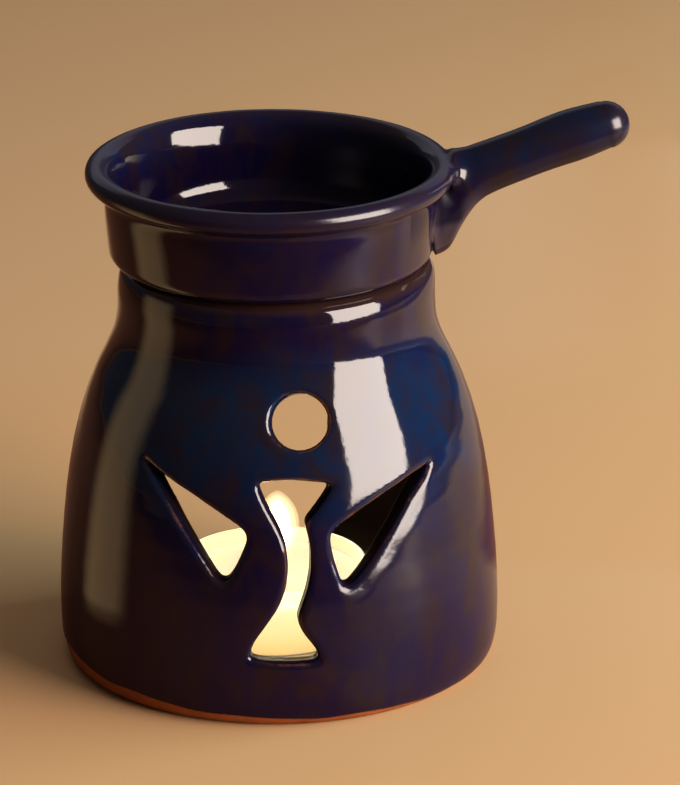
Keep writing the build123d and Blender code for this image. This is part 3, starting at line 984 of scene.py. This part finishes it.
def dish_sdf(P):
    x, y, z = P[:, 0] - DISH_X, P[:, 1], P[:, 2]
    # the rim rises a little towards the back
    z = z - 0.45 * np.clip(y / 36 * 0.5 + 0.5, 0, 1) * step01((z - 88) / 10) * step01((44 - x) / 8)
    r = np.hypot(x, y)
    a = np.arctan2(y, x)
    ease = 0.09 + 0.05 * np.sin(2 * a - 0.4) + 0.03 * np.sin(3 * a + 1.2)
    d = DISH(r + np.where(r > 15, ease, 0), z)
    m = np.abs(d) < 2
    if m.any():
        d[m] += 0.05 * dish_lump(P[m]) * step01((z[m] - DISH_Z - 0.1) / 1.5)
    h = (x > 27) & (np.abs(y) < 12) & (z > 80)
    if h.any():
        X, Y, Z = x[h], y[h], z[h]
        zc, hz, hy = (np.interp(X, hx, hv[k]) for k in range(3))
        q = np.sqrt((Y / hy) ** 2 + ((Z - zc) / hz) ** 2)
        g = np.sqrt((Y / hy**2) ** 2 + ((Z - zc) / hz**2) ** 2) / np.maximum(q, 1e-6)
        arm = (q - 1) / np.maximum(g, 0.08)
        arm *= np.where(X > 40, math.cos(TILT), 1.0 - (1 - math.cos(TILT)) * step01((X - 34) / 6))
        along = (X - TIP_AT[0]) * math.cos(TILT) + (Z - TIP_AT[1]) * math.sin(TILT)
        ball = np.sqrt((X - TIP_AT[0]) ** 2 + Y**2 + (Z - TIP_AT[1]) ** 2) - TIP_R
        arm = np.where(along > 0, ball, arm)
        arm = np.maximum(arm, 31.9 - 3.0 * step01((88.0 - Z) / 2.0) - r[h])
        root = step01((r[h] - 32.0) / 1.0) * step01((101.0 - Z) / 5.0)
        k = 0.3 + np.maximum(4.2 * step01((r[h] - 34.4) / 2.2), 5.0 * root)
        d[h] = smin(d[h], arm + 0.05 * dish_lump(P[h] * 0.8), k)
    return d


V, Q = surface(dish_sdf, (-38.8, -37.9, 80.6), (72.0, 37.9, 115.4), 0.5)
dish = to_object("glazed_dish", V, Q)
store(dish, "edge", np.clip(roundness(dish_sdf, V, 0.8), -0.2, 1.0))
rr = np.hypot(V[:, 0] - DISH_X, V[:, 1])
lip = step01((V[:, 2] - 99.4) / 2.0) * step01((rr - 32.0) / 1.5) * step01((38.6 - rr) / 2.0)
bowl = step01((V[:, 0] + 8.0) / 18.0) * step01((V[:, 2] - 86.6) / 1.5) * step01((32.5 - rr) / 1.5)
store(dish, "lip", lip)
hollow = 2.6 * np.exp(-(((V[:, 0] - 34.0) / 2.6) ** 2) - (((V[:, 2] - 96.4) / 2.6) ** 2))
store(dish, "worn", np.maximum(np.maximum(np.maximum(lip, hollow), 1.6 * bowl), 1.2 * step01((V[:, 0] - 35.0) / 4.0)))
# painted shade: the nook under the lip at the handle root, the right half of the bowl's inside and the underside of the
# handle are darkened as well as dulled
nook = (V[:, 0] > 25) * step01((rr - 32.6) / 0.8) * step01((39.5 - rr) / 2.0) * step01((100.4 - V[:, 2]) / 1.4) * step01((V[:, 2] - 90.0) / 2.0)
below = step01((V[:, 0] - 38.0) / 5.0) * step01((np.interp(V[:, 0] - DISH_X, hx, hv[0]) - 0.6 - V[:, 2]) / 3.0)
store(dish, "dull_and_shade", np.maximum(np.maximum(nook, 0.85 * bowl), 0.55 * below))
dish.data.materials.append(DISH_GLAZE)
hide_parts("oil_dish", "dish_handle")
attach(dish, "dish")

# ---------------------------------------------------------------------------
# tealight
# ---------------------------------------------------------------------------
cz = TEA_Z
cup_prof = ([(0, 0.35), (15.6, 0.35)] + [tuple(q) for q in arc(16.4, 0.42, 0.42, 200, 320, 6)]
            + [tuple(q) for q in arc(17.45, 0.95, 0.92, -70, 0, 8)]
            + [(18.55, 4.0), (18.78, 9.0), (18.86, 13.6)]
            + [tuple(q) for q in arc(18.62, 14.72, 0.37, -20, 190, 12)]
            + [(18.12, 13.6), (18.02, 9.0), (17.85, 4.0), (17.70, 1.6)]
            + [tuple(q) for q in arc(16.9, 1.5, 0.8, 0, -90, 8)] + [(12.0, 0.7), (0, 0.7)])
cup = lathe("clear_cup", cup_prof, 120, (TEA_X, 0, cz))
cup.data.materials.append(cup_material())
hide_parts("tealight_cup")
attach(cup, "tealight")

zb = 0.75
wt = zb + 11.4
wax_prof = ([(0, zb + 0.45), (6.6, zb + 0.45), (6.7, zb + 0.02), (16.0, zb + 0.02)]
            + [tuple(q) for q in arc(16.65, 1.5 + zb * 0.2, 0.85, -80, 0, 7)]
            + [(17.62, 4.0), (17.80, 9.0), (17.90, wt - 0.5)]
            + [tuple(q) for q in arc(17.62, wt - 0.32, 0.28, 0, 110, 6)]
            + [(17.0, wt - 0.30), (15.6, wt - 0.62), (12.0, wt - 0.82), (7.0, wt - 0.90), (3.2, wt - 0.86), (1.8, wt - 0.62), (0.95, wt - 0.15), (0.45, wt - 0.05), (0, wt - 0.05)])
wax = lathe("wax", wax_prof, 120, (TEA_X, 0, cz), lambda a, z: 0.02 * math.sin(7 * a + z))
wax.data.materials.append(wax_material())
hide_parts("tealight_wax")
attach(wax, "tealight")

# braided wick: three strands twisted round each other, leaning over at the burnt tip
Vw, Fw = [], []
n_len, n_sec = 90, 8
zlo, zhi = cz + zb + 0.02, 20.85
for s in range(3):
    base = len(Vw)
    for i in range(n_len):
        f = i / (n_len - 1)
        a = 2 * math.pi * (s / 3 + f * 4.5)
        taper = 1.0 - 0.35 * max(0, (f - 0.82) / 0.18)
        lean = 0.16 * max(0, f - 0.6) ** 2 / 0.16
        c = Vector((TEA_X + lean + 0.36 * taper * math.cos(a), 0.36 * taper * math.sin(a), zlo + (zhi - zlo) * f))
        for k in range(n_sec):
            b = 2 * math.pi * k / n_sec
            Vw.append((c.x + 0.36 * taper * math.cos(b), c.y + 0.36 * taper * math.sin(b), c.z + 0.10 * math.sin(b + a)))
    for i in range(n_len - 1):
        for k in range(n_sec):
            k2 = (k + 1) % n_sec
            Fw.append((base + i * n_sec + k, base + i * n_sec + k2, base + (i + 1) * n_sec + k2, base + (i + 1) * n_sec + k))
    Fw.append(tuple(base + k for k in reversed(range(n_sec))))
    Fw.append(tuple(base + (n_len - 1) * n_sec + k for k in range(n_sec)))
wick = to_object("braided_wick", np.array(Vw), Fw)
wick.data.materials.append(wick_material())
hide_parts("tealight_wick")
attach(wick, "tealight")

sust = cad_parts["wick_sustainer"]
sust.data.materials.clear()
sust.data.materials.append(steel_material())

# flame on the wick
fl = spline([(0.0, 20.1), (0.85, 20.7), (1.5, 22.2), (2.0, 24.4), (2.2, 26.6), (1.95, 28.6), (1.25, 30.2), (0.5, 31.1), (0.0, 31.45)], 48)
fl[:, 0] = np.maximum(fl[:, 0], 0)
fl[0, 0] = fl[-1, 0] = 0
flame = lathe("flame", [tuple(q) for q in fl], 48, (TEA_X + 1.0, 0, 0))
flame.data.materials.append(flame_material())
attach(flame, "tealight")

# soft glow round the flame: thin shells one inside the other
mid = np.array([0.0, 26.4])
v = fl - mid
v /= np.maximum(np.hypot(v[:, 0], v[:, 1]), 1e-6)[:, None]
shells = []
for grow in (0.4, 0.9, 1.5, 2.2):
    gl = fl + v * grow
    gl[:, 0] = np.maximum(gl[:, 0], 0)
    gl[0, 0] = gl[-1, 0] = 0
    shells.append(lathe("flame_glow", [tuple(q) for q in gl], 48, (TEA_X + 1.0, 0, 0)))
Vg, Fg = [], []
for ob in shells:
    base = len(Vg)
    Vg += [tuple(q.co / MM) for q in ob.data.vertices]
    Fg += [tuple(base + k for k in pl.vertices) for pl in ob.data.polygons]
    bpy.data.objects.remove(ob)
glow = to_object("flame_glow", np.array(Vg), Fg)
glow.data.materials.append(glow_material())
glow.visible_shadow = glow.visible_diffuse = False
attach(glow, "tealight")
